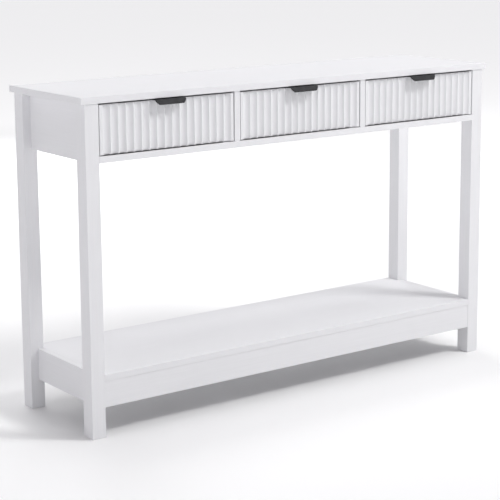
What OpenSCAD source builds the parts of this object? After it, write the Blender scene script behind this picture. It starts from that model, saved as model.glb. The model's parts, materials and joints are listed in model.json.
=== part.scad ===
// Console table with three fluted drawers on ball-bearing slides and a shelf near the floor.
// Flat-pack construction: 15 mm boards and solid legs held by dowels, cam fittings and screws.
// The drawers open towards -Y. The origin is on the floor, in the middle of the overall box.

/* [Table] */
// Length of the top panel
table_length = 1200; // [1050:10:1400]
// Height of the top surface above the floor
table_height = 764; // [700:1:860]
// Depth of the top panel
top_depth = 324; // [324:1:400]
// Thickness of the boards
panel_t = 15; // [15:0.5:18]
// How far the top stands past the legs at each end
side_overhang = 10; // [2:1:30]
// How far the top stands past the front legs
front_overhang = 3; // [0:1:10]
// How far the top stands past the rear legs
back_overhang = 4; // [0:1:20]

/* [Legs] */
// Width of a leg, along the length of the table
leg_w = 35; // [35:1:50]
// Depth of a leg, from front to back
leg_d = 38; // [35:1:50]

/* [Lower shelf] */
// Height of the shelf surface above the floor
shelf_height = 144; // [110:1:240]
// Height of the rails under the shelf
shelf_rail_h = 60; // [55:1:80]
// How far the shelf rails are set back from the face of the legs
rail_setback = 1; // [0:0.5:3]

/* [Drawers] */
// Clear height of the drawer bays
opening_h = 115.5; // [110:0.5:150]
// Gap at each side of a drawer front
side_gap = 2.5; // [1.5:0.5:4]
// Gap above a drawer front
top_gap = 3.5; // [3:0.5:5]
// Gap below a drawer front
bottom_gap = 2; // [1.5:0.5:4]
// How far the drawer fronts are set back from the legs
front_recess = 1; // [0:0.5:3]
// Number of flutes on a drawer front
flute_count = 17; // [9:2:21]
// Depth of a flute
flute_depth = 5; // [1.5:0.5:5]
// Width of the narrow ridge between two flutes
ridge_w = 0.8; // [0.4:0.1:3]
// Flat margin at each end of a drawer front
flute_margin = 7.5; // [5:0.5:12]
// Depth of the drawer box behind its front
box_depth = 260; // [256:1:268]
// Thickness of the sides and back of the drawer box
box_t = 12; // [12:0.5:14]
// Height of the drawer box
box_h = 86; // [80:1:90]
// Height of the drawer box above the board it runs over
box_lift = 12.5; // [8:0.5:16]
// Thickness of the drawer bottom
bottom_t = 3; // [3:0.5:4]
// How far a drawer opens
drawer_travel = 180; // [120:5:180]

/* [Handle] */
// Width of the handle
handle_w = 80; // [60:1:120]
// Reach of the handle's flat plate past the drawer front
handle_reach = 9; // [8:0.5:20]
// How far the lip slopes outwards
lip_out = 8; // [4:0.5:10]
// Height of the lip
lip_drop = 11; // [8:0.5:16]
// Thickness of the handle's sheet metal
handle_t = 1.5; // [1:0.1:2]
// Width of the cut at each corner of the lip
corner_w = 7.5; // [4:0.5:12]
// Height of the cut at each corner of the lip
corner_h = 7.5; // [4:0.5:8]

/* [Hidden] */
PARTS = ["front", "left_side", "right_side", "back", "bottom", "handle", "handle_screws",
         "slide_rails", "cam_locks", "cam_bolts", "screws"];
$fn = 32;

AX = [1, 0, 0];
AY = [0, 1, 0];
AZ = [0, 0, 1];
SIDES = [-1, 1];
cut = 1;
lap = 0.01;

// The frame. Depths run from the front face of the legs, y = 0, and front_y moves them to the origin.
frame_d = top_depth - front_overhang - back_overhang;
frame_x = table_length / 2 - side_overhang;
inner_x = frame_x - leg_w;
handle_out = handle_reach + lip_out - front_recess;
front_y = (handle_out - frame_d - back_overhang) / 2;
top_z = table_height - panel_t;
board_top = top_z - opening_h;
board_z = board_top - panel_t;
shelf_z = shelf_height - panel_t;
rail_z = shelf_z - shelf_rail_h;
rear_leg_y = frame_d - leg_d;
back_y = frame_d - panel_t;
half_t = panel_t / 2;

// The three drawer bays, the slides on their walls and the drawer boxes between the slides.
bay_w = (2 * inner_x - 2 * panel_t) / 3;
bay_step = bay_w + panel_t;
front_w = bay_w - 2 * side_gap;
front_z = board_top + bottom_gap;
front_top = top_z - top_gap;
front_back_y = front_recess + panel_t;
box_z = board_top + box_lift;
box_y = front_back_y;
box_end_y = box_y + box_depth;
slide_z = box_z + box_h / 2;
slide_t = 12.7;
box_x = bay_w / 2 - slide_t;
box_in_x = box_x - box_t;
groove_depth = 5;
groove_gap = 0.1;
bottom_rise = 8;
bottom_z = box_z + bottom_rise;
flute_pitch = (front_w - 2 * flute_margin) / flute_count;
flute_half_w = (flute_pitch - ridge_w) / 2;
flute_r = (flute_half_w * flute_half_w + flute_depth * flute_depth) / (2 * flute_depth);
flute_axis_y = front_recess + flute_depth - flute_r;

// The handle's rear flange, and the share of its thickness that lies in front of the fold line.
handle_flange = 20;
fold_share = 0.6;

// The slide's pressed steel members, seen from the front. X runs from the wall towards the drawer.
slide_y = 20;
slide_l = 250;
steel_t = 1.2;
fixed_h = 35;
fixed_depth = 10.9;
fixed_lip = 1;
fixed_lip_z = 14.6;
inner_h = 23;
inner_from = 3.9;
inner_lip_z = 13;
cage_from = 2.4;
cage_to = 9.2;
cage_t = 0.8;
cage_h = 28.6;
ball_d = 4.2;
ball_x = 7.4;
ball_z = 13.9;
ball_pitch = 10;
ball_rows = 6;
stop_t = 1;
stop_gap = 0.3;
stop_h = 12;
// At full travel the cage sits between the fixed rail's front stop and the sliding rail's rear stop.
cage_l = slide_l - drawer_travel - 2 * stop_t - 2 * stop_gap;
cage_y = slide_y + stop_t + stop_gap + drawer_travel / 2;

// Fasteners and the clearance of their bores.
play = 0.1;
dowel_d = 8;
dowel_l = 30;
dowel_shift = 5;
cam_d = 15;
cam_reach = 24;
cam_rest = 2.8;
cam_cross_l = 9;
cam_cross_w = 1.6;
cam_cross_depth = 1.5;
bolt_d = 5;
bolt_neck_d = 4;
bolt_bite = 11;
box_bolt_bite = 8;
bolt_head_d = 5.6;
bolt_head_h = 4;
bolt_head_back = 2.5;
screw_d = 3.5;
tip_r = 0.4;
tip_l = 4;
low_tip_l = 3;
low_head_d = 7;
low_head_h = 0.8;
low_cross_w = 0.8;
low_cross_depth = 0.5;
frame_screw_l = 40;
back_screw_l = 32;
wall_screw_l = 14;
box_screw_l = 11;
handle_screw_l = 10;
handle_screw_x = 25;
handle_screw_drop = 10;

// Heights of the joints at the ends of the boards and rails.
apron_dowel_z = [board_z + 21.5, top_z - 21];
apron_cam_z = board_z + 37.5;
back_cam_z = board_z + 65;
side_rail_dowel_z = [rail_z + 15, shelf_height - 16];
side_rail_cam_z = rail_z + 37;
long_rail_dowel_z = [rail_z + 15, rail_z + 45];
long_rail_cam_z = rail_z + 30;
divider_screw_z = [board_top + 25, board_top + 90];

// Depths of the joints along the boards, from the front of the legs.
leg_mid_y = [leg_d / 2, frame_d - leg_d / 2];
long_rail_y = [rail_setback + half_t, frame_d - rail_setback - half_t];
board_dowel_y = 250;
board_cam_y = [100, 200];
shelf_cam_y = [110, 207];
apron_cam_y = [100, 217];
divider_foot_y = [40, 262];
divider_head_y = [60, 240];
divider_cam_y = 150;
divider_screw_y = [90, 200];

// The screws that hold each slide to the wall and to the drawer, and the slide's spare holes.
wall_screw_y = [[45, 245], [60, 230]];
wall_spare_y = [110, 160];
box_screw_y = [55, 150, 235];
box_spare_y = [90, 190];
box_cam_z = [box_z + 19, box_z + 67];

apron_mid_x = inner_x + half_t;
leg_mid_x = frame_x - leg_w / 2;
divider_x = bay_step / 2;

// Each dowel is [centre, axis].
DOWELS = concat(
    [for (s = SIDES, y = [leg_d, rear_leg_y], z = concat(apron_dowel_z, side_rail_dowel_z))
        [[s * apron_mid_x, y, z], AY]],
    [for (s = SIDES, z = apron_dowel_z) [[s * inner_x, back_y + half_t, z], AX]],
    [for (s = SIDES) [[s * inner_x, leg_mid_y[0], board_z + half_t], AX]],
    [for (s = SIDES) [[s * (inner_x - dowel_shift), board_dowel_y, board_z + half_t], AX]],
    [for (s = SIDES, y = leg_mid_y) [[s * inner_x, y, shelf_z + half_t], AX]],
    [for (s = SIDES, y = long_rail_y, z = long_rail_dowel_z) [[s * inner_x, y, z], AX]],
    [for (bay = [-1:1], y = long_rail_y) [[bay * bay_step, y, shelf_z - dowel_shift], AZ]],
    [for (s = SIDES, y = leg_mid_y) [[s * leg_mid_x, y, top_z - dowel_shift], AZ]],
    [for (s = SIDES, y = divider_foot_y) [[s * divider_x, y, board_top + dowel_shift], AZ]],
    [for (s = SIDES, y = divider_head_y) [[s * divider_x, y, top_z - dowel_shift], AZ]]);

// Each cam fitting is [point where the two boards meet, way into the drilled board, way out of its face].
CAMS = concat(
    [for (s = SIDES, z = [apron_cam_z, side_rail_cam_z]) [[s * apron_mid_x, leg_d, z], AY, -s * AX]],
    [for (s = SIDES, z = [apron_cam_z, side_rail_cam_z]) [[s * apron_mid_x, rear_leg_y, z], -AY, -s * AX]],
    [for (s = SIDES) [[s * inner_x, back_y + half_t, back_cam_z], -s * AX, -AY]],
    [for (s = SIDES, y = board_cam_y) [[s * inner_x, y, board_z + half_t], -s * AX, -AZ]],
    [for (s = SIDES, y = shelf_cam_y) [[s * inner_x, y, shelf_z + half_t], -s * AX, -AZ]],
    [for (s = SIDES, i = [0, 1])
        [[s * inner_x, long_rail_y[i], long_rail_cam_z], -s * AX, i == 0 ? AY : -AY]],
    [for (s = SIDES, y = apron_cam_y) [[s * apron_mid_x, y, top_z], -AZ, -s * AX]],
    [for (s = SIDES) [[s * divider_x, divider_cam_y, top_z], -AZ, s * AX]],
    [for (bay = [-1:1]) [[bay * bay_step, back_y + half_t, top_z], -AZ, -AY]]);

// Each screw is [middle of its head on the surface, way it is driven].
SCREWS = concat(
    [for (s = SIDES, y = divider_screw_y) [[s * divider_x, y, board_z], AZ]],
    [for (s = SIDES, z = divider_screw_z) [[s * divider_x, frame_d, z], -AY]],
    [for (bay = [-1:1]) [[bay * bay_step, frame_d, board_z + half_t], -AY]]);

// Places children with their Z axis along z_dir and their Y axis along y_dir.
module aim(p, z_dir, y_dir) {
    x_dir = cross(y_dir, z_dir);
    multmatrix([[x_dir.x, y_dir.x, z_dir.x, p.x],
                [x_dir.y, y_dir.y, z_dir.y, p.y],
                [x_dir.z, y_dir.z, z_dir.z, p.z]]) children();
}

function square_to(a) = [a.z, a.x, a.y];

module in_frame() {
    translate([0, front_y, 0]) children();
}

module in_bay(bay) {
    in_frame() translate([(bay - 2) * bay_step, 0, 0]) children();
}

// A block between two opposite corners.
module block(low, high) {
    translate(low) cube(high - low);
}

// ---- fasteners ----

module dowel(spot, grow = 0) {
    aim(spot[0], spot[1], square_to(spot[1]))
        cylinder(d = dowel_d - 2 * play + 2 * grow, h = dowel_l + 4 * grow, center = true);
}

// A cam bolt along +Z: its thread bites the mating board below z = 0, and its head sits in the lock.
module cam_bolt(bite = bolt_bite) {
    translate([0, 0, -bite]) cylinder(d = bolt_d, h = bite);
    cylinder(d = bolt_neck_d, h = cam_reach - bolt_head_back + lap);
    translate([0, 0, cam_reach - bolt_head_back]) cylinder(d = bolt_head_d, h = bolt_head_h);
}

// A cam lock in a board of thickness t, in the same axes, with its face towards +Y.
module cam_lock(t) {
    translate([0, t / 2, cam_reach]) rotate([90, 0, 0]) difference() {
        cylinder(d = cam_d - 2 * play, h = t - cam_rest);
        cross_recess(cam_cross_l, cam_cross_w, cam_cross_depth);
        translate([0, -cam_reach / 2, t / 2]) rotate([-90, 0, 0])
            cylinder(d = bolt_head_d + 6 * play, h = cam_reach / 2 + bolt_head_h - 1);
    }
}

// A cross cut down into the surface z = 0.
module cross_recess(l, w, depth) {
    for (a = [0, 90])
        rotate([0, 0, a]) translate([-l / 2, -w / 2, -cut]) cube([l, w, cut + depth]);
}

// The holes that a cam fitting needs in both boards.
module cam_holes(t, bite = bolt_bite) {
    translate([0, 0, -bite - 2 * play]) cylinder(d = bolt_d + 2 * play, h = bite + cut);
    cylinder(d = bolt_head_d + 4 * play, h = cam_reach);
    translate([0, t / 2 + cut, cam_reach]) rotate([90, 0, 0])
        cylinder(d = cam_d, h = t - cam_rest + cut + play);
}

// A countersunk wood screw driven along +Z from the surface z = 0.
module wood_screw(l, grow = 0) {
    cylinder(r1 = screw_d + grow, r2 = screw_d / 2 + grow, h = screw_d / 2);
    cylinder(d = screw_d + 2 * grow, h = l - tip_l);
    translate([0, 0, l - tip_l]) cylinder(r1 = screw_d / 2 + grow, r2 = tip_r + grow, h = tip_l + grow);
}

module wood_screw_hole(l) {
    wood_screw(l, play);
    translate([0, 0, -cut]) cylinder(d = 2 * screw_d + 2 * play, h = cut);
}

// A low-headed screw whose head sits on the surface z = 0, with a cross recess.
module low_screw(l) {
    difference() {
        translate([0, 0, -low_head_h]) cylinder(d = low_head_d, h = low_head_h);
        translate([0, 0, -low_head_h]) cross_recess(low_head_d / 2, low_cross_w, low_cross_depth);
    }
    cylinder(d = screw_d, h = l - low_tip_l);
    translate([0, 0, l - low_tip_l]) cylinder(r1 = screw_d / 2, r2 = tip_r, h = low_tip_l);
}

module low_screw_hole(l) {
    translate([0, 0, -cut]) cylinder(d = screw_d + 2 * play, h = l + cut + play);
}

// Every bore of the frame's own fasteners, cut from the boards and legs it passes through.
module frame_bores() {
    for (spot = DOWELS) dowel(spot, play);
    for (cam = CAMS) aim(cam[0], cam[1], cam[2]) cam_holes(panel_t);
    for (screw = SCREWS) aim(screw[0], screw[1], square_to(screw[1])) wood_screw_hole(frame_screw_l);
    all_wall_screws() low_screw_hole(wall_screw_l);
}

// Places children at every screw that holds a fixed rail to a bay's wall.
module all_wall_screws() {
    for (bay = [-1:1], s = SIDES, y = wall_screw_y[(s + 1) / 2])
        translate([bay * bay_step, 0, 0]) wall_screw_place(s, y) children();
}

// A screw place on a bay's left (s = -1) or right (s = 1) wall, with its head on the fixed rail.
module wall_screw_place(s, y) {
    aim([s * (bay_w / 2 - steel_t), y, slide_z], s * AX, AY) children();
}

module board(low, high, tint = "white") {
    color(tint) in_frame() difference() {
        block(low, high);
        frame_bores();
    }
}

// ---- frame ----

module top_panel() {
    board([-table_length / 2, -front_overhang, top_z],
          [table_length / 2, frame_d + back_overhang, table_height]);
}

module leg(side, y) {
    board([side < 0 ? -frame_x : inner_x, y, 0], [side < 0 ? -inner_x : frame_x, y + leg_d, top_z]);
}

// A board between the front and rear legs whose inner face is level with the legs' inner faces.
module end_board(side, low_z, high_z) {
    board([side < 0 ? -inner_x - panel_t : inner_x, leg_d, low_z],
          [side < 0 ? -inner_x : inner_x + panel_t, rear_leg_y, high_z], "gainsboro");
}

module back_panel() {
    board([-inner_x, back_y, board_z], [inner_x, frame_d, top_z]);
}

module drawer_board() {
    board([-inner_x, 0, board_z], [inner_x, back_y, board_top]);
}

module divider(side) {
    mid = side * bay_step / 2;
    board([mid - half_t, 0, board_top], [mid + half_t, back_y, top_z]);
}

module lower_shelf() {
    board([-inner_x, 0, shelf_z], [inner_x, frame_d, shelf_height]);
}

module long_shelf_rail(y) {
    board([-inner_x, y - half_t, rail_z], [inner_x, y + half_t, shelf_z], "whitesmoke");
}

module frame_dowels() {
    color("burlywood") in_frame() for (spot = DOWELS) dowel(spot);
}

module frame_cam_locks() {
    color("silver") in_frame() for (cam = CAMS) aim(cam[0], cam[1], cam[2]) cam_lock(panel_t);
}

module frame_cam_bolts() {
    color("darkgray") in_frame() for (cam = CAMS) aim(cam[0], cam[1], cam[2]) cam_bolt();
}

module frame_screws() {
    color("darkgray") in_frame() {
        for (screw = SCREWS)
            aim(screw[0], screw[1], square_to(screw[1])) wood_screw(frame_screw_l);
        all_wall_screws() low_screw(wall_screw_l);
    }
}

// ---- slides ----

// Draws children on both walls of a bay: X is the distance from the wall, Z from the slide's middle line.
module on_walls(bay) {
    in_bay(bay) for (s = SIDES)
        mirror([s < 0 ? 0 : 1, 0, 0]) translate([-bay_w / 2, 0, slide_z]) children();
}

// Extrudes an X-Z profile along Y.
module along_y(from, to) {
    translate([0, to, 0]) rotate([90, 0, 0]) linear_extrude(to - from) children();
}

// A U-shaped profile open towards +X, with the web against the wall.
module channel(h, depth, t) {
    difference() {
        translate([0, -h / 2]) square([depth, h]);
        translate([t, t - h / 2]) square([depth, h - 2 * t]);
    }
}

module fixed_profile() {
    channel(fixed_h, fixed_depth, steel_t);
    for (s = SIDES)
        translate([fixed_depth - fixed_lip, s < 0 ? -fixed_h / 2 : fixed_lip_z])
            square([fixed_lip, fixed_h / 2 - fixed_lip_z]);
}

module sliding_profile() {
    translate([slide_t, 0]) mirror([1, 0]) channel(inner_h, slide_t - inner_from, steel_t);
    translate([inner_from, -inner_lip_z]) difference() {
        square([fixed_lip, 2 * inner_lip_z]);
        translate([-cut, inner_lip_z - inner_h / 2 + steel_t])
            square([fixed_lip + 2 * cut, inner_h - 2 * steel_t]);
    }
}

module web_holes(depths, from) {
    for (y = depths) translate([from - cut, y, 0]) rotate([0, 90, 0])
        cylinder(d = screw_d + 2 * play, h = steel_t + 2 * cut);
}

module stop_tab(y, from, to) {
    block([from, y, -stop_h / 2], [to, y + stop_t, stop_h / 2]);
}

module fixed_rails(bay) {
    end_y = slide_y + slide_l + stop_gap + stop_t;
    color("silver") on_walls(bay) {
        difference() {
            along_y(slide_y, end_y) fixed_profile();
            web_holes(concat(wall_screw_y[0], wall_screw_y[1], wall_spare_y), 0);
        }
        stop_tab(slide_y, steel_t - lap, inner_from - stop_gap);
        stop_tab(end_y - stop_t, steel_t - lap, fixed_depth);
    }
}

module slide_rails(bay) {
    color("silver") on_walls(bay) {
        difference() {
            along_y(slide_y, slide_y + slide_l) sliding_profile();
            web_holes(concat(box_screw_y, box_spare_y), slide_t - steel_t);
        }
        stop_tab(slide_y + slide_l - stop_t, cage_from, slide_t - steel_t + lap);
    }
}

// The pressed steel cage and its two rows of loose balls.
module ball_cages(bay) {
    first = cage_y + (cage_l - (ball_rows - 1) * ball_pitch) / 2;
    color("gold") on_walls(bay) {
        difference() {
            along_y(cage_y, cage_y + cage_l)
                translate([cage_from, 0]) channel(cage_h, cage_to - cage_from, cage_t);
            for (i = [0:ball_rows - 1]) translate([ball_x, first + i * ball_pitch, 0])
                cylinder(d = ball_d + 4 * play, h = cage_h + 2 * cut, center = true);
        }
        for (i = [0:ball_rows - 1], s = SIDES)
            translate([ball_x, first + i * ball_pitch, s * ball_z]) sphere(d = ball_d);
    }
}

// ---- drawers ----

// The plate in the box's grooves, or the groove itself when it grows.
module bottom_plate(grow = 0) {
    reach = groove_depth + grow;
    block([-box_in_x - reach, box_y - reach, bottom_z - grow],
          [box_in_x + reach, box_end_y - box_t + reach, bottom_z + bottom_t + grow]);
}

module box_cam_places() {
    for (s = SIDES, z = box_cam_z)
        aim([s * (box_x - box_t / 2), box_y, z], AY, -s * AX) children();
}

module back_screw_places() {
    for (s = SIDES, z = box_cam_z)
        aim([s * box_x, box_end_y - box_t / 2, z], -s * AX, AY) children();
}

module box_slide_screw_places() {
    for (s = SIDES, y = box_screw_y)
        aim([s * (box_x + steel_t), y, slide_z], -s * AX, AY) children();
}

module handle_screw_places() {
    for (s = SIDES)
        aim([s * handle_screw_x, front_back_y + handle_t, front_top - handle_screw_drop], -AY, AX) children();
}

// Every bore and groove of one drawer.
module drawer_bores() {
    bottom_plate(groove_gap);
    box_cam_places() cam_holes(box_t, box_bolt_bite);
    back_screw_places() wood_screw_hole(back_screw_l);
    box_slide_screw_places() low_screw_hole(box_screw_l);
    handle_screw_places() low_screw_hole(handle_screw_l);
}

module drawer_front(bay) {
    color("white") in_bay(bay) difference() {
        block([-front_w / 2, front_recess, front_z], [front_w / 2, front_back_y, front_top]);
        for (i = [0:flute_count - 1])
            translate([(i - (flute_count - 1) / 2) * flute_pitch, flute_axis_y, front_z - cut])
                cylinder(r = flute_r, h = front_top - front_z + 2 * cut);
        drawer_bores();
    }
}

module drawer_side(bay, side) {
    color("ghostwhite") in_bay(bay) difference() {
        block([side < 0 ? -box_x : box_in_x, box_y, box_z],
              [side < 0 ? -box_in_x : box_x, box_end_y, box_z + box_h]);
        drawer_bores();
    }
}

module drawer_back(bay) {
    color("ghostwhite") in_bay(bay) difference() {
        block([-box_in_x, box_end_y - box_t, box_z], [box_in_x, box_end_y, box_z + box_h]);
        drawer_bores();
    }
}

module drawer_bottom(bay) {
    color("lightgray") in_bay(bay) bottom_plate();
}

// Sheet metal bent over the drawer front: rear flange, flat plate, and a sloping lip with cut corners.
module handle(bay) {
    plate_y = front_recess - handle_reach;
    color("#2b2b2e") in_bay(bay) difference() {
        along_x(handle_w) handle_profile(plate_y);
        handle_screw_places() low_screw_hole(handle_screw_l);
        for (s = SIDES) corner_cut(s, plate_y);
    }
}

// Extrudes a Y-Z profile along X, centred.
module along_x(w) {
    rotate([90, 0, 90]) linear_extrude(w, center = true) children();
}

// The bent strip seen from the side.
module handle_profile(plate_y) {
    low = front_top;
    high = low + handle_t;
    rear_y = front_back_y + handle_t;
    polygon([[front_back_y, low - handle_flange], [rear_y, low - handle_flange], [rear_y, high],
             [plate_y - handle_t * fold_share, high], [plate_y - lip_out, high - lip_drop],
             [plate_y - lip_out + handle_t, high - lip_drop],
             [plate_y + handle_t * (1 - fold_share), low], [front_back_y, low]]);
}

// The wedge that takes one lower corner off the lip.
module corner_cut(side, plate_y) {
    lip_z = front_top + handle_t - lip_drop;
    edge = side * handle_w / 2;
    translate([0, plate_y + handle_t, 0]) rotate([90, 0, 0]) linear_extrude(lip_out + 2 * handle_t)
        polygon([[edge - side * corner_w, lip_z - cut], [edge + side * cut, lip_z - cut],
                 [edge + side * cut, lip_z + corner_h], [edge, lip_z + corner_h],
                 [edge - side * corner_w, lip_z]]);
}

module handle_screws(bay) {
    color("dimgray") in_bay(bay) handle_screw_places() low_screw(handle_screw_l);
}

module drawer_cam_locks(bay) {
    color("silver") in_bay(bay) box_cam_places() cam_lock(box_t);
}

module drawer_cam_bolts(bay) {
    color("darkgray") in_bay(bay) box_cam_places() cam_bolt(box_bolt_bite);
}

module drawer_screws(bay) {
    color("darkgray") in_bay(bay) {
        back_screw_places() wood_screw(back_screw_l);
        box_slide_screw_places() low_screw(box_screw_l);
    }
}

top_panel();
leg(-1, 0);  // front_left_leg
leg(1, 0);  // front_right_leg
leg(-1, rear_leg_y);  // rear_left_leg
leg(1, rear_leg_y);  // rear_right_leg
end_board(-1, board_z, top_z);  // left_apron
end_board(1, board_z, top_z);  // right_apron
back_panel();
drawer_board();
divider(-1);  // left_divider
divider(1);  // right_divider
lower_shelf();
long_shelf_rail(long_rail_y[0]);  // shelf_front_rail
long_shelf_rail(long_rail_y[1]);  // shelf_rear_rail
end_board(-1, rail_z, shelf_height);  // shelf_left_rail
end_board(1, rail_z, shelf_height);  // shelf_right_rail
frame_dowels();
frame_cam_locks();
frame_cam_bolts();
frame_screws();
for (bay = [1:3]) {
    fixed_rails(bay);
    ball_cages(bay);
    drawer_front(bay);
    drawer_side(bay, -1);
    drawer_side(bay, 1);
    drawer_back(bay);
    drawer_bottom(bay);
    handle(bay);
    handle_screws(bay);
    slide_rails(bay);
    drawer_cam_locks(bay);
    drawer_cam_bolts(bay);
    drawer_screws(bay);
}
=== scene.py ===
"""The visual model of a white console table with three fluted drawers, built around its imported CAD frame."""
import json
import math

import bmesh
import bpy
import numpy as np
from mathutils import Matrix, Vector


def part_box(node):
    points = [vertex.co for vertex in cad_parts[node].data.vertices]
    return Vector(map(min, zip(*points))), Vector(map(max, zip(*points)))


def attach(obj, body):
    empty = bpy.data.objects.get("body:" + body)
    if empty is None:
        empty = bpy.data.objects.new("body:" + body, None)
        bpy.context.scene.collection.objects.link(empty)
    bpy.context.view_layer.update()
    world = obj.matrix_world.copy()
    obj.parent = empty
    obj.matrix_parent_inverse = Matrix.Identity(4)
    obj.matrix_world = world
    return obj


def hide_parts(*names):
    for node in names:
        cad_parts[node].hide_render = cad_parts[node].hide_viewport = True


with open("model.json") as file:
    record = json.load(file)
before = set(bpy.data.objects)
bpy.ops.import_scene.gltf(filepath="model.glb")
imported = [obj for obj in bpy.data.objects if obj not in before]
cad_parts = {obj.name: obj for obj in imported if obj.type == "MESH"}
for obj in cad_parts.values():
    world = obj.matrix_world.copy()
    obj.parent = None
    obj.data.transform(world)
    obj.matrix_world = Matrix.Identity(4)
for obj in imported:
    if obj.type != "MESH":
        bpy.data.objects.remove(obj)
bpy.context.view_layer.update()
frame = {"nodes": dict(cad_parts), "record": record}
MM = 0.001
BAYS = (1, 2, 3)

# The camera: the point it is aimed at, the side it looks from and how far off it is, in metres and degrees.
CAMERA_AIM = Vector((-0.020, 0.030, 0.450))
CAMERA_AZIMUTH = -36.2
CAMERA_ELEVATION = 10.56
CAMERA_ROLL = -0.4
CAMERA_DISTANCE = 3.839
CAMERA_LENS = 111.85
CAMERA_SHIFT = -0.10
CAMERA_REACH = 200

# The studio lights: place, point they face, size of the disk, power and colour.
LIGHTS = {
    "key": ((2.4, -2.7, 4.2), (0, 0, 0.5), 1.4, 130, (1, 1, 0.995)),
    "side_key": ((3.9, -1.0, 2.2), (0, 0, 0.5), 1.0, 9, (1, 1, 0.995)),
    "overhead": ((0.0, 0.2, 4.0), (0, 0, 0.5), 3.0, 42, (1, 1, 1)),
    "left": ((-4.0, -1.0, 1.6), (0, 0, 0.4), 2.5, 17, (0.98, 0.965, 1)),
    "back": ((0.5, 3.5, 2.0), (0, 0, 0.3), 2.5, 62, (1, 1, 1)),
}
NO_GLARE = ("back",)  # lights that don't show as a reflection on the pieces

# The sky is pale near the horizon and dimmer above: strengths, and the heights between which it changes, as
# the sine of the angle above the horizon.
SKY_COLOUR = (0.97, 0.955, 1.0)
HORIZON_STRENGTH = 0.84
SKY_STRENGTH = 0.32
BAND_TOP = 0.14
BAND_FADE = 0.26

# The floor's radius, and how far below the feet it lies so that no two faces meet, in metres.
FLOOR_RADIUS = 60
FLOOR_DROP = 0.2 * MM

# The floor glows far from the table, so that it stays pale where the lights don't reach: metres and strength.
GLOW_START = 1.5
GLOW_END = 5.0
GLOW = 0.53

# Widths of the eased edges, in metres.
BOARD_EASE = 0.9 * MM
BOX_EASE = 0.5 * MM
JOINED_END = 0.2  # a board's end that meets another board is eased this share as much
STEEL_EASE = 0.3 * MM

# How the CAD meshes' edges are told apart.
SAME_PLACE = 1e-6  # metres: points closer than this are one point
LONG_RUN = 50 * MM  # an edge of a slide counts as a long one above this
CORNER_DOT = 0.8  # two faces meet in a corner if their normals' dot product is below this

# Edges are shaded sharp where the faces turn by more than this, on every piece and on the meshes made here.
SHARP_TURN = math.radians(50)
MADE_SHARP_TURN = math.radians(35)

# The rounding of a line's corners: a turn that is left as it is, and the most it takes of one stretch.
SLIGHT_TURN = math.radians(15)
MOST_OF_STRETCH = 0.45

# The drawer fronts' flutes and their eased edges, in metres.
FLUTES = 17
FLUTE_MARGIN = 7.5 * MM
FLUTE_DEPTH = 5.0 * MM
FLUTE_STEPS = 7  # steps of the arc on each side of a flute's middle
RIDGE_W = 0.8 * MM
FRONT_EASE = 0.6 * MM
FRONT_EASE_STEPS = 4

# The handle's sheet metal, in metres.
SHEET_T = 1.5 * MM
LIP_DROP = 11 * MM
LIP_OUT = 8 * MM
FOLD_SHARE = 0.6  # the fold lies this share of the sheet's thickness short of LIP_OUT
CORNER_W = 7.5 * MM
CORNER_H = 7.5 * MM
LIP_SLOPE = 1.15  # length along the sloping lip for each unit of height
BEND = 1.2 * MM
BEND_STEPS = 8
CORNER_ROUND = 2 * MM
CORNER_STEPS = 6
SHEET_EASE = 0.3 * MM
SHEET_CORNER = math.radians(60)  # the sheet's edges are eased where its faces turn by more than this
SHEET_COLUMNS = 5  # columns of faces on each side of the sheet's middle
TANGENT_REACH = 0.05 * MM  # the sheet's direction is taken between points this far to each side

# Radii of the fasteners, the room round them and how far a cut runs past a face, in metres.
BOLT_HEAD_R = 2.8 * MM
BOLT_R = 2.5 * MM
SCREW_HEAD_R = 3.5 * MM
SCREW_R = 1.75 * MM
PLAY = 0.1 * MM
OVERCUT = 1 * MM
BORE_SEGMENTS = 32


# ---- shader nodes ----

def map_range(tree, value, low, high, start, end):
    """Maps start..end to low..high."""
    made = tree.nodes.new("ShaderNodeMapRange")
    for key, number in (("From Min", start), ("From Max", end), ("To Min", low), ("To Max", high)):
        made.inputs[key].default_value = number
    tree.links.new(value, made.inputs["Value"])
    return made.outputs["Result"]


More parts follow.
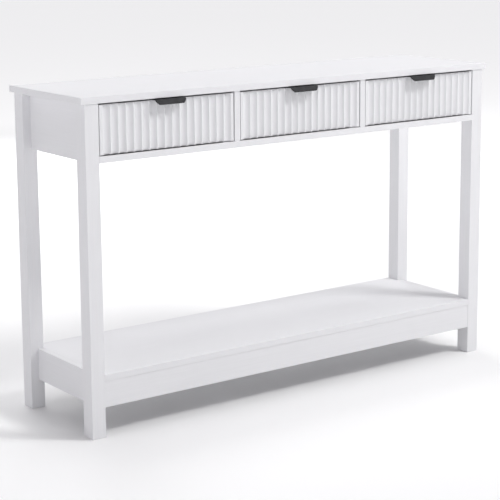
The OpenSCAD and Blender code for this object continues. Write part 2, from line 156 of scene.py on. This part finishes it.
class Shader:
    """A material's node tree, with short calls for the few kinds of node that the materials here use."""

    def __init__(self, name):
        self.material = bpy.data.materials.new(name)
        self.material.use_nodes = True
        self.tree = self.material.node_tree
        self.surface = self.tree.nodes["Principled BSDF"]

    def node(self, kind, **values):
        made = self.tree.nodes.new(kind)
        for key, value in values.items():
            if key in made.inputs:
                made.inputs[key].default_value = value
            else:
                setattr(made, key, value)
        return made

    def link(self, output, target):
        self.tree.links.new(output, target)

    def set(self, **values):
        for key, value in values.items():
            self.surface.inputs[key.replace("_", " ")].default_value = value

    def noise(self, scale, detail=2.0, stretch=(1, 1, 1)):
        """Noise over the object's own coordinates in metres, stretched along each axis."""
        place = self.node("ShaderNodeTexCoord")
        mapping = self.node("ShaderNodeMapping", Scale=stretch)
        made = self.node("ShaderNodeTexNoise", Scale=scale, Detail=detail)
        self.link(place.outputs["Object"], mapping.inputs["Vector"])
        self.link(mapping.outputs["Vector"], made.inputs["Vector"])
        return made.outputs["Fac"]

    def ramp(self, value, low, high, start=0.0, end=1.0):
        return map_range(self.tree, value, low, high, start, end)

    def mix(self, factor, a, b):
        """Mixes two colours."""
        made = self.node("ShaderNodeMix", data_type="RGBA")
        made.inputs[6].default_value = (*a, 1)
        made.inputs[7].default_value = (*b, 1)
        self.link(factor, made.inputs[0])
        return made.outputs[2]

    def add(self, a, b, share=1.0):
        """a + share * b"""
        made = self.node("ShaderNodeMath", operation="MULTIPLY_ADD")
        self.link(b, made.inputs[0])
        made.inputs[1].default_value = share
        self.link(a, made.inputs[2])
        return made.outputs[0]

    def bump(self, height, distance):
        made = self.node("ShaderNodeBump", Distance=distance)
        self.link(height, made.inputs["Height"])
        self.link(made.outputs["Normal"], self.surface.inputs["Normal"])


def along(axis, share):
    """The stretch that draws a pattern out along one axis."""
    return tuple(share if number == axis else 1.0 for number in range(3))


def lacquer(name, grain_axis, colour=(0.80, 0.80, 0.815), rough=0.52, grain_depth=0.00003):
    """Satin white lacquer on board, with faint grain, fine orange peel and slight clouding."""
    shader = Shader(name)
    grain = shader.noise(260, 4, along(grain_axis, 0.03))
    pores = shader.noise(900, 2, along(grain_axis, 0.06))
    cloud = shader.noise(5, 2)
    peel = shader.noise(700, 1)
    tone = shader.add(shader.add(grain, pores, 0.4), cloud, 0.6)
    darker = tuple(part * 0.965 for part in colour)
    shader.link(shader.mix(shader.ramp(tone, 0, 1, 0.7, 1.25), darker, colour),
                shader.surface.inputs["Base Color"])
    shader.link(shader.ramp(grain, rough - 0.06, rough + 0.06, 0.3, 0.7), shader.surface.inputs["Roughness"])
    shader.bump(shader.add(shader.add(grain, pores, 0.5), peel, 0.5), grain_depth)
    return shader.material


def laminate(name, colour, rough):
    """Matte foil on the drawer boxes, with a fine print of grain and a pebbled touch."""
    shader = Shader(name)
    print_grain = shader.noise(180, 3, along(1, 0.05))
    pebble = shader.noise(1400, 2)
    darker = tuple(part * 0.95 for part in colour)
    shader.link(shader.mix(shader.ramp(print_grain, 0, 1, 0.35, 0.65), darker, colour),
                shader.surface.inputs["Base Color"])
    shader.link(shader.ramp(pebble, rough - 0.05, rough + 0.08, 0.3, 0.7), shader.surface.inputs["Roughness"])
    shader.bump(pebble, 0.00002)
    return shader.material


def metal(name, colour, rough, grain_axis=1, patch=50):
    """Plated or cast metal: fine lines along one axis, and cloudy patches in its colour and gloss."""
    shader = Shader(name)
    lines = shader.noise(1500, 2, along(grain_axis, 0.03))
    patches = shader.noise(patch, 3)
    duller = tuple(part * 0.84 for part in colour)
    shader.link(shader.mix(shader.ramp(patches, 0, 1, 0.35, 0.65), duller, colour),
                shader.surface.inputs["Base Color"])
    shader.link(shader.ramp(shader.add(lines, patches), rough - 0.08, rough + 0.12, 0.7, 1.3),
                shader.surface.inputs["Roughness"])
    shader.bump(lines, 0.00001)
    shader.set(Metallic=1.0)
    return shader.material


def powder_coat():
    """Matte black powder coat with its fine pimples."""
    shader = Shader("black_powder_coat")
    pimples = shader.noise(2200, 2)
    cloud = shader.noise(90, 2)
    colour = shader.mix(shader.ramp(cloud, 0, 1, 0.35, 0.65), (0.020, 0.020, 0.022), (0.030, 0.030, 0.033))
    shader.link(colour, shader.surface.inputs["Base Color"])
    shader.link(shader.ramp(pimples, 0.50, 0.68, 0.3, 0.7), shader.surface.inputs["Roughness"])
    shader.set(Specular_IOR_Level=0.2)
    shader.bump(pimples, 0.00005)
    return shader.material


def beech():
    """Plain beech, for the dowels."""
    shader = Shader("beech")
    grain = shader.noise(300, 3)
    shader.link(shader.mix(shader.ramp(grain, 0, 1, 0.3, 0.7), (0.50, 0.33, 0.18), (0.66, 0.47, 0.28)),
                shader.surface.inputs["Base Color"])
    shader.set(Roughness=0.7)
    return shader.material


def studio_floor():
    """Matt white paper, faintly uneven, which glows a little far from the table."""
    shader = Shader("studio_floor")
    shader.link(shader.mix(shader.noise(0.6), (0.93, 0.93, 0.93), (0.95, 0.95, 0.95)),
                shader.surface.inputs["Base Color"])
    place = shader.node("ShaderNodeTexCoord")
    distance = shader.node("ShaderNodeVectorMath", operation="LENGTH")
    shader.link(place.outputs["Object"], distance.inputs[0])
    shader.link(shader.ramp(distance.outputs["Value"], 0, GLOW, GLOW_START, GLOW_END),
                shader.surface.inputs["Emission Strength"])
    shader.set(Roughness=0.9, Emission_Color=(1, 1, 1, 1))
    return shader.material


MATERIALS = {
    "long_board": lacquer("lacquer_long_board", 0),
    "deep_board": lacquer("lacquer_deep_board", 1),
    "leg": lacquer("lacquer_leg", 2, grain_depth=0.00005),
    "front": lacquer("lacquer_front", 2),
    "box": laminate("drawer_box_foil", (0.74, 0.74, 0.74), 0.5),
    "bottom": laminate("drawer_bottom_foil", (0.72, 0.72, 0.72), 0.6),
    "handle": powder_coat(),
    "slide": metal("zinc_slide", (0.62, 0.63, 0.65), 0.32),
    "cage": metal("pressed_steel", (0.50, 0.51, 0.52), 0.26),
    "screw": metal("zinc_screw", (0.58, 0.59, 0.61), 0.30, 2),
    "cam": metal("cast_zinc", (0.52, 0.52, 0.53), 0.45, 2, 300),
    "dowel": beech(),
}
SLOT_MATERIAL = {
    "white_leg": "leg", "white_front": "front", "drawer_box": "box", "drawer_bottom": "bottom",
    "black_handle": "handle", "slide_steel": "slide", "cage_steel": "cage", "screw_steel": "screw",
    "cam_metal": "cam", "dowel_wood": "dowel",
}
DEEP_BOARDS = ("left_apron", "right_apron", "left_divider", "right_divider",
               "shelf_left_rail", "shelf_right_rail")


def paint(obj, name):
    obj.data.materials.clear()
    obj.data.materials.append(MATERIALS[name])


# ---- the CAD pieces that stay ----

def corner_edges(obj, low, high, end_share):
    """How much to round each of a mesh's edges: 1 along the long edges of the box low..high, end_share round
    its two ends, and 0 elsewhere."""
    points = np.array([vertex.co for vertex in obj.data.vertices])
    pairs = np.array([edge.vertices for edge in obj.data.edges])
    on_plane = np.concatenate([abs(points - np.array(side)) < SAME_PLACE for side in (low, high)], axis=1)
    shared = on_plane[pairs[:, 0]] & on_plane[pairs[:, 1]]
    longest = int(np.argmax(np.array(high) - np.array(low)))
    at_end = shared[:, longest] | shared[:, longest + 3]
    return np.where(shared.sum(axis=1) >= 2, np.where(at_end, end_share, 1.0), 0.0)


def long_edges(obj):
    """Which of a mesh's edges are corners that run a long way front to back, as an array of 0 and 1."""
    points = np.round([vertex.co for vertex in obj.data.vertices], 6)
    places = [tuple(point) for point in points]
    turns = {}
    for polygon in obj.data.polygons:
        for a, b in polygon.edge_keys:
            turns.setdefault(frozenset((places[a], places[b])), []).append(polygon.normal.copy())
    weights = []
    for edge in obj.data.edges:
        a, b = edge.vertices
        run = abs(points[a] - points[b])
        straight = run[1] > LONG_RUN and run[0] < SAME_PLACE and run[2] < SAME_PLACE
        normals = turns.get(frozenset((places[a], places[b])), [])
        corner = any(normals[0].dot(other) < CORNER_DOT for other in normals[1:])
        weights.append(float(straight and corner))
    return weights


def weld(obj):
    """Joins the vertices that a CAD mesh keeps apart, with a modifier, which leaves its own mesh as it is."""
    modifier = obj.modifiers.new("weld", "WELD")
    modifier.merge_threshold = SAME_PLACE


def sharp_turns():
    """A node group that marks the edges of a mesh as sharp where its faces turn by more than SHARP_TURN."""
    group = bpy.data.node_groups.new("sharp_turns", "GeometryNodeTree")
    for way in ("INPUT", "OUTPUT"):
        group.interface.new_socket("Geometry", in_out=way, socket_type="NodeSocketGeometry")
    source = group.nodes.new("NodeGroupInput")
    result = group.nodes.new("NodeGroupOutput")
    angle = group.nodes.new("GeometryNodeInputMeshEdgeAngle")
    turned = group.nodes.new("FunctionNodeCompare")
    turned.operation = "GREATER_THAN"
    turned.inputs["B"].default_value = SHARP_TURN
    mark = group.nodes.new("GeometryNodeSetShadeSmooth")
    mark.domain = "EDGE"
    mark.inputs["Shade Smooth"].default_value = False
    group.links.new(angle.outputs["Unsigned Angle"], turned.inputs["A"])
    group.links.new(turned.outputs["Result"], mark.inputs["Selection"])
    group.links.new(source.outputs[0], mark.inputs["Geometry"])
    group.links.new(mark.outputs["Geometry"], result.inputs[0])
    return group


SHARP_TURNS = sharp_turns()


def flat_normals(obj):
    """Shades flat faces flat and round ones smooth, in place of the normals that a mesh came with."""
    obj.modifiers.new("sharp_turns", "NODES").node_group = SHARP_TURNS
    weighted = obj.modifiers.new("flat_normals", "WEIGHTED_NORMAL")
    weighted.keep_sharp = True
    weighted.weight = 100


def ease(obj, weights, width, segments=3):
    """Rounds the weighted edges of a CAD piece with modifiers."""
    attribute = obj.data.attributes.new("bevel_weight_edge", "FLOAT", "EDGE")
    attribute.data.foreach_set("value", weights)
    bevel = obj.modifiers.new("eased_edges", "BEVEL")
    bevel.limit_method = "WEIGHT"
    bevel.width = width
    bevel.segments = segments
    bevel.use_clamp_overlap = False


def finish_cad_pieces():
    slots = {part["node"]: part["material_slot"] for part in frame["record"]["subparts"]}
    for name, obj in frame["nodes"].items():
        slot = slots[name]
        if slot == "white_board":
            paint(obj, "deep_board" if name in DEEP_BOARDS else "long_board")
        else:
            paint(obj, SLOT_MATERIAL[slot])
        weld(obj)
        if slot in ("white_board", "white_leg"):
            end_share = 1.0 if slot == "white_leg" or name == "top_panel" else JOINED_END
            ease(obj, corner_edges(obj, *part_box(name), end_share), BOARD_EASE)
        elif slot in ("drawer_box", "drawer_bottom"):
            ease(obj, corner_edges(obj, *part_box(name), JOINED_END), BOX_EASE, 2)
        elif slot == "slide_steel":
            ease(obj, long_edges(obj), STEEL_EASE, 2)
        obj.data.shade_smooth()
        flat_normals(obj)


# ---- meshes made here ----

def make_piece(name, shape, material, body, node):
    """Turns a bmesh into a piece that stands for a CAD node."""
    bmesh.ops.recalc_face_normals(shape, faces=shape.faces)
    mesh = bpy.data.meshes.new(name)
    shape.to_mesh(mesh)
    shape.free()
    piece = bpy.data.objects.new(name, mesh)
    bpy.context.scene.collection.objects.link(piece)
    paint(piece, material)
    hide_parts(node)
    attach(piece, body)
    return piece


def bridge(shape, rows, closed=False):
    """Joins rows of vertices with quads, and the last row to the first if closed."""
    pairs = list(zip(rows, rows[1:]))
    if closed:
        pairs.append((rows[-1], rows[0]))
    for one, two in pairs:
        for a, b, c, d in zip(one, one[1:], two[1:], two):
            shape.faces.new((a, b, c, d))


def rounded(points, reach, steps):
    """Rounds the corners of an open line of (a, b) points, starting that far from each corner."""
    line = [Vector(points[0])]
    for before, here, after in zip(points, points[1:], points[2:]):
        here = Vector(here)
        back, ahead = Vector(before) - here, Vector(after) - here
        if back.angle(-ahead) < SLIGHT_TURN:
            line.append(here)
            continue
        cut = min(reach, MOST_OF_STRETCH * back.length, MOST_OF_STRETCH * ahead.length)
        start, end = here + back.normalized() * cut, here + ahead.normalized() * cut
        for step in range(steps + 1):
            t = step / steps
            line.append(start * (1 - t) ** 2 + here * 2 * t * (1 - t) + end * t ** 2)
    line.append(Vector(points[-1]))
    return line


def cylinder_along_y(shape, x, z, radius, start, end):
    turn = Matrix.Translation((x, (start + end) / 2, z)) @ Matrix.Rotation(math.radians(90), 4, "X")
    bmesh.ops.create_cone(shape, cap_ends=True, segments=BORE_SEGMENTS, radius1=radius, radius2=radius,
                          depth=end - start, matrix=turn)


def block(shape, low, high):
    middle = [(a + b) / 2 for a, b in zip(low, high)]
    size = [b - a for a, b in zip(low, high)]
    bmesh.ops.create_cube(shape, size=1, matrix=Matrix.Translation(middle) @ Matrix.Diagonal((*size, 1)))


def corner_spots(node, radius):
    """The middles of round pieces that stand in the corners of a node's box, seen along Y, as (x, z)."""
    low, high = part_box(node)
    ends = [[low[axis] + radius, high[axis] - radius] if high[axis] - low[axis] > 3 * radius
            else [(low[axis] + high[axis]) / 2] for axis in (0, 2)]
    return [(x, z) for x in ends[0] for z in ends[1]]


def cut_away(piece, shape):
    """Takes a bmesh away from a piece's mesh for good."""
    bmesh.ops.recalc_face_normals(shape, faces=shape.faces)
    mesh = bpy.data.meshes.new("cutter")
    shape.to_mesh(mesh)
    shape.free()
    cutter = bpy.data.objects.new("cutter", mesh)
    bpy.context.scene.collection.objects.link(cutter)
    modifier = piece.modifiers.new("cut", "BOOLEAN")
    modifier.object = cutter
    modifier.solver = "MANIFOLD"
    graph = bpy.context.evaluated_depsgraph_get()
    result = bpy.data.meshes.new_from_object(piece.evaluated_get(graph))
    piece.modifiers.clear()
    piece.data = result
    bpy.data.objects.remove(cutter)


def shade(piece):
    """Smooth shading, with sharp edges where the faces turn a lot."""
    piece.data.shade_smooth()
    piece.data.set_sharp_from_angle(angle=MADE_SHARP_TURN)
    flat_normals(piece)


# ---- drawer fronts ----

def front_outline(width, depth):
    """The fluted front seen from above, from the middle of its back round to the same place."""
    half = width / 2
    pitch = (width - 2 * FLUTE_MARGIN) / FLUTES
    chord = (pitch - RIDGE_W) / 2
    radius = (chord ** 2 + FLUTE_DEPTH ** 2) / (2 * FLUTE_DEPTH)
    reach = math.asin(chord / radius)
    points = [(0, depth), (-half, depth), (-half, 0)]
    for number in range(FLUTES):
        middle = (number + 0.5) * pitch + FLUTE_MARGIN - half
        for step in range(-FLUTE_STEPS, FLUTE_STEPS + 1):
            angle = reach * step / FLUTE_STEPS
            points.append((middle + radius * math.sin(angle), FLUTE_DEPTH - radius * (1 - math.cos(angle))))
    return rounded(points + [(half, 0), (half, depth), (0, depth)], FRONT_EASE, FRONT_EASE_STEPS)[:-1]


def inwards(loop):
    """Each point's unit normal towards the inside of a clockwise or anticlockwise loop."""
    area = sum(a.x * b.y - b.x * a.y for a, b in zip(loop, loop[1:] + loop[:1]))
    normals = []
    for before, after in zip(loop[-1:] + loop[:-1], loop[1:] + loop[:1]):
        run = (after - before).normalized()
        normals.append(Vector((-run.y, run.x)) * (1 if area > 0 else -1))
    return normals


def make_front(bay):
    node = f"drawer_{bay}_front"
    low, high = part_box(node)
    loop = front_outline(high[0] - low[0], high[1] - low[1])
    normals = inwards(loop)
    quarter = [math.radians(angle) for angle in (0, 30, 60, 90)]
    rise = [(FRONT_EASE * (1 - math.cos(angle)), FRONT_EASE * (1 - math.sin(angle))) for angle in quarter]
    levels = [(low[2] + up, inset) for up, inset in rise]
    levels += [(high[2] - up, inset) for up, inset in rise[::-1]]
    shape = bmesh.new()
    rows = []
    for z, inset in levels:
        at = [(point + normal * inset) for point, normal in zip(loop, normals)]
        rows.append([shape.verts.new(((low[0] + high[0]) / 2 + p.x, low[1] + p.y, z)) for p in at])
    bridge(shape, [row + row[:1] for row in rows])
    shape.faces.new(rows[0])
    shape.faces.new(rows[-1])
    piece = make_piece(f"{node}_panel", shape, "front", f"drawer_{bay}", node)

    cuts = bmesh.new()
    back = high[1] + OVERCUT
    groove_low, groove_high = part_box(f"drawer_{bay}_bottom")
    block(cuts, [a - PLAY for a in groove_low], (groove_high[0] + PLAY, back, groove_high[2] + PLAY))
    for x, z in corner_spots(f"drawer_{bay}_cam_bolts", BOLT_HEAD_R):
        cylinder_along_y(cuts, x, z, BOLT_R + PLAY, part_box(f"drawer_{bay}_cam_bolts")[0][1] - PLAY, back)
    for x, z in corner_spots(f"drawer_{bay}_handle_screws", SCREW_HEAD_R):
        cylinder_along_y(cuts, x, z, SCREW_R + PLAY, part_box(f"drawer_{bay}_handle_screws")[0][1] - PLAY, back)
    cut_away(piece, cuts)
    shade(piece)


# ---- handles ----

def sheet_line(low, high):
    """The middle line of the handle's bent strip, from the foot of its flange to its tip, as (y, z)."""
    half = SHEET_T / 2
    tip = Vector((low[1], high[2] - LIP_DROP))
    fold = Vector((low[1] + LIP_OUT - FOLD_SHARE * SHEET_T, high[2]))
    slope = (tip - fold).normalized()
    inside = Vector((-slope.y, slope.x)) * half
    to_plate = (fold.y - half - (tip + inside).y) / slope.y
    corner = tip + inside + slope * to_plate
    return rounded([(high[1] - half, low[2]), (high[1] - half, high[2] - half), corner, tip + inside],
                   BEND, BEND_STEPS)


def sheet_outline(width, length):
    """Half of the flat sheet's outline before it is bent, as half width and distance from its foot."""
    half = width / 2
    points = [(0, 0), (half, 0), (half, length - CORNER_H * LIP_SLOPE), (half - CORNER_W, length),
              (0, length)]
    return rounded(points, CORNER_ROUND, CORNER_STEPS)[1:-1]


def make_handle(bay):
    node = f"drawer_{bay}_handle"
    low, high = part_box(node)
    line = sheet_line(low, high)
    steps = [(b - a).length for a, b in zip(line, line[1:])]
    run = np.concatenate([[0], np.cumsum(steps)])
    outline = sheet_outline(high[0] - low[0], run[-1])
    levels = np.unique(np.round(np.concatenate([run, [p.y for p in outline]]), 7))
    halves = np.interp(levels, [p.y for p in outline], [p.x for p in outline])
    ys, zs = [p.x for p in line], [p.y for p in line]

    def spot(at):
        return Vector((0, np.interp(at, run, ys), np.interp(at, run, zs)))

    shape = bmesh.new()
    middle_x = (low[0] + high[0]) / 2
    top, under = [], []
    for level, half in zip(levels, halves):
        ahead = (spot(min(level + TANGENT_REACH, run[-1])) - spot(max(level - TANGENT_REACH, 0))).normalized()
        normal = Vector((0, ahead.z, -ahead.y)) * SHEET_T / 2
        across = [Vector((middle_x + half * column / SHEET_COLUMNS, 0, 0))
                  for column in range(-SHEET_COLUMNS, SHEET_COLUMNS + 1)]
        top.append([shape.verts.new(x + spot(level) + normal) for x in across])
        under.append([shape.verts.new(x + spot(level) - normal) for x in across])
    bridge(shape, top)
    bridge(shape, under)
    for end in (0, -1):
        bridge(shape, [[row[end] for row in top], [row[end] for row in under]])
        bridge(shape, [top[end], under[end]])
    piece = make_piece(f"{node}_sheet", shape, "handle", f"drawer_{bay}", node)

    cuts = bmesh.new()
    for x, z in corner_spots(f"drawer_{bay}_handle_screws", SCREW_HEAD_R):
        cylinder_along_y(cuts, x, z, SCREW_R + PLAY, high[1] - 2 * SHEET_T, high[1] + OVERCUT)
    cut_away(piece, cuts)
    bevel = piece.modifiers.new("eased_edges", "BEVEL")
    bevel.width = SHEET_EASE
    bevel.segments = 3
    bevel.limit_method = "ANGLE"
    bevel.angle_limit = SHEET_CORNER
    bevel.use_clamp_overlap = False
    shade(piece)


# ---- studio ----

def make_camera():
    azimuth, elevation = math.radians(CAMERA_AZIMUTH), math.radians(CAMERA_ELEVATION)
    back = Vector((math.sin(azimuth) * math.cos(elevation), -math.cos(azimuth) * math.cos(elevation),
                   math.sin(elevation)))
    data = bpy.data.cameras.new("camera")
    data.lens = CAMERA_LENS
    data.shift_y = CAMERA_SHIFT
    data.clip_end = CAMERA_REACH
    camera = bpy.data.objects.new("camera", data)
    turn = back.to_track_quat("Z", "Y").to_matrix() @ Matrix.Rotation(math.radians(CAMERA_ROLL), 3, "Z")
    camera.matrix_world = Matrix.Translation(CAMERA_AIM + back * CAMERA_DISTANCE) @ turn.to_4x4()
    bpy.context.scene.collection.objects.link(camera)
    bpy.context.scene.camera = camera


def make_floor():
    shape = bmesh.new()
    bmesh.ops.create_circle(shape, cap_ends=True, segments=96, radius=FLOOR_RADIUS)
    mesh = bpy.data.meshes.new("floor")
    shape.to_mesh(mesh)
    shape.free()
    floor = bpy.data.objects.new("floor", mesh)
    floor.location.z = -FLOOR_DROP
    floor.data.materials.append(studio_floor())
    bpy.context.scene.collection.objects.link(floor)


def make_sky():
    world = bpy.data.worlds.new("studio")
    world.use_nodes = True
    tree = world.node_tree
    sky = tree.nodes["Background"]
    sky.inputs["Color"].default_value = (*SKY_COLOUR, 1)
    direction = tree.nodes.new("ShaderNodeTexCoord")
    split = tree.nodes.new("ShaderNodeSeparateXYZ")
    tree.links.new(direction.outputs["Generated"], split.inputs[0])
    strength = map_range(tree, split.outputs["Z"], HORIZON_STRENGTH, SKY_STRENGTH, BAND_TOP, BAND_FADE)
    tree.links.new(strength, sky.inputs["Strength"])
    bpy.context.scene.world = world


def make_lights():
    for name, (place, target, size, power, colour) in LIGHTS.items():
        data = bpy.data.lights.new(name, "AREA")
        data.shape = "DISK"
        data.size = size
        data.energy = power
        data.color = colour
        light = bpy.data.objects.new(name, data)
        towards = (Vector(place) - Vector(target)).to_track_quat("Z", "Y")
        light.matrix_world = Matrix.Translation(place) @ towards.to_matrix().to_4x4()
        light.visible_glossy = name not in NO_GLARE
        bpy.context.scene.collection.objects.link(light)
    bpy.context.scene.view_settings.view_transform = "Standard"


make_camera()
make_floor()
make_sky()
make_lights()
finish_cad_pieces()
for bay in BAYS:
    make_front(bay)
    make_handle(bay)
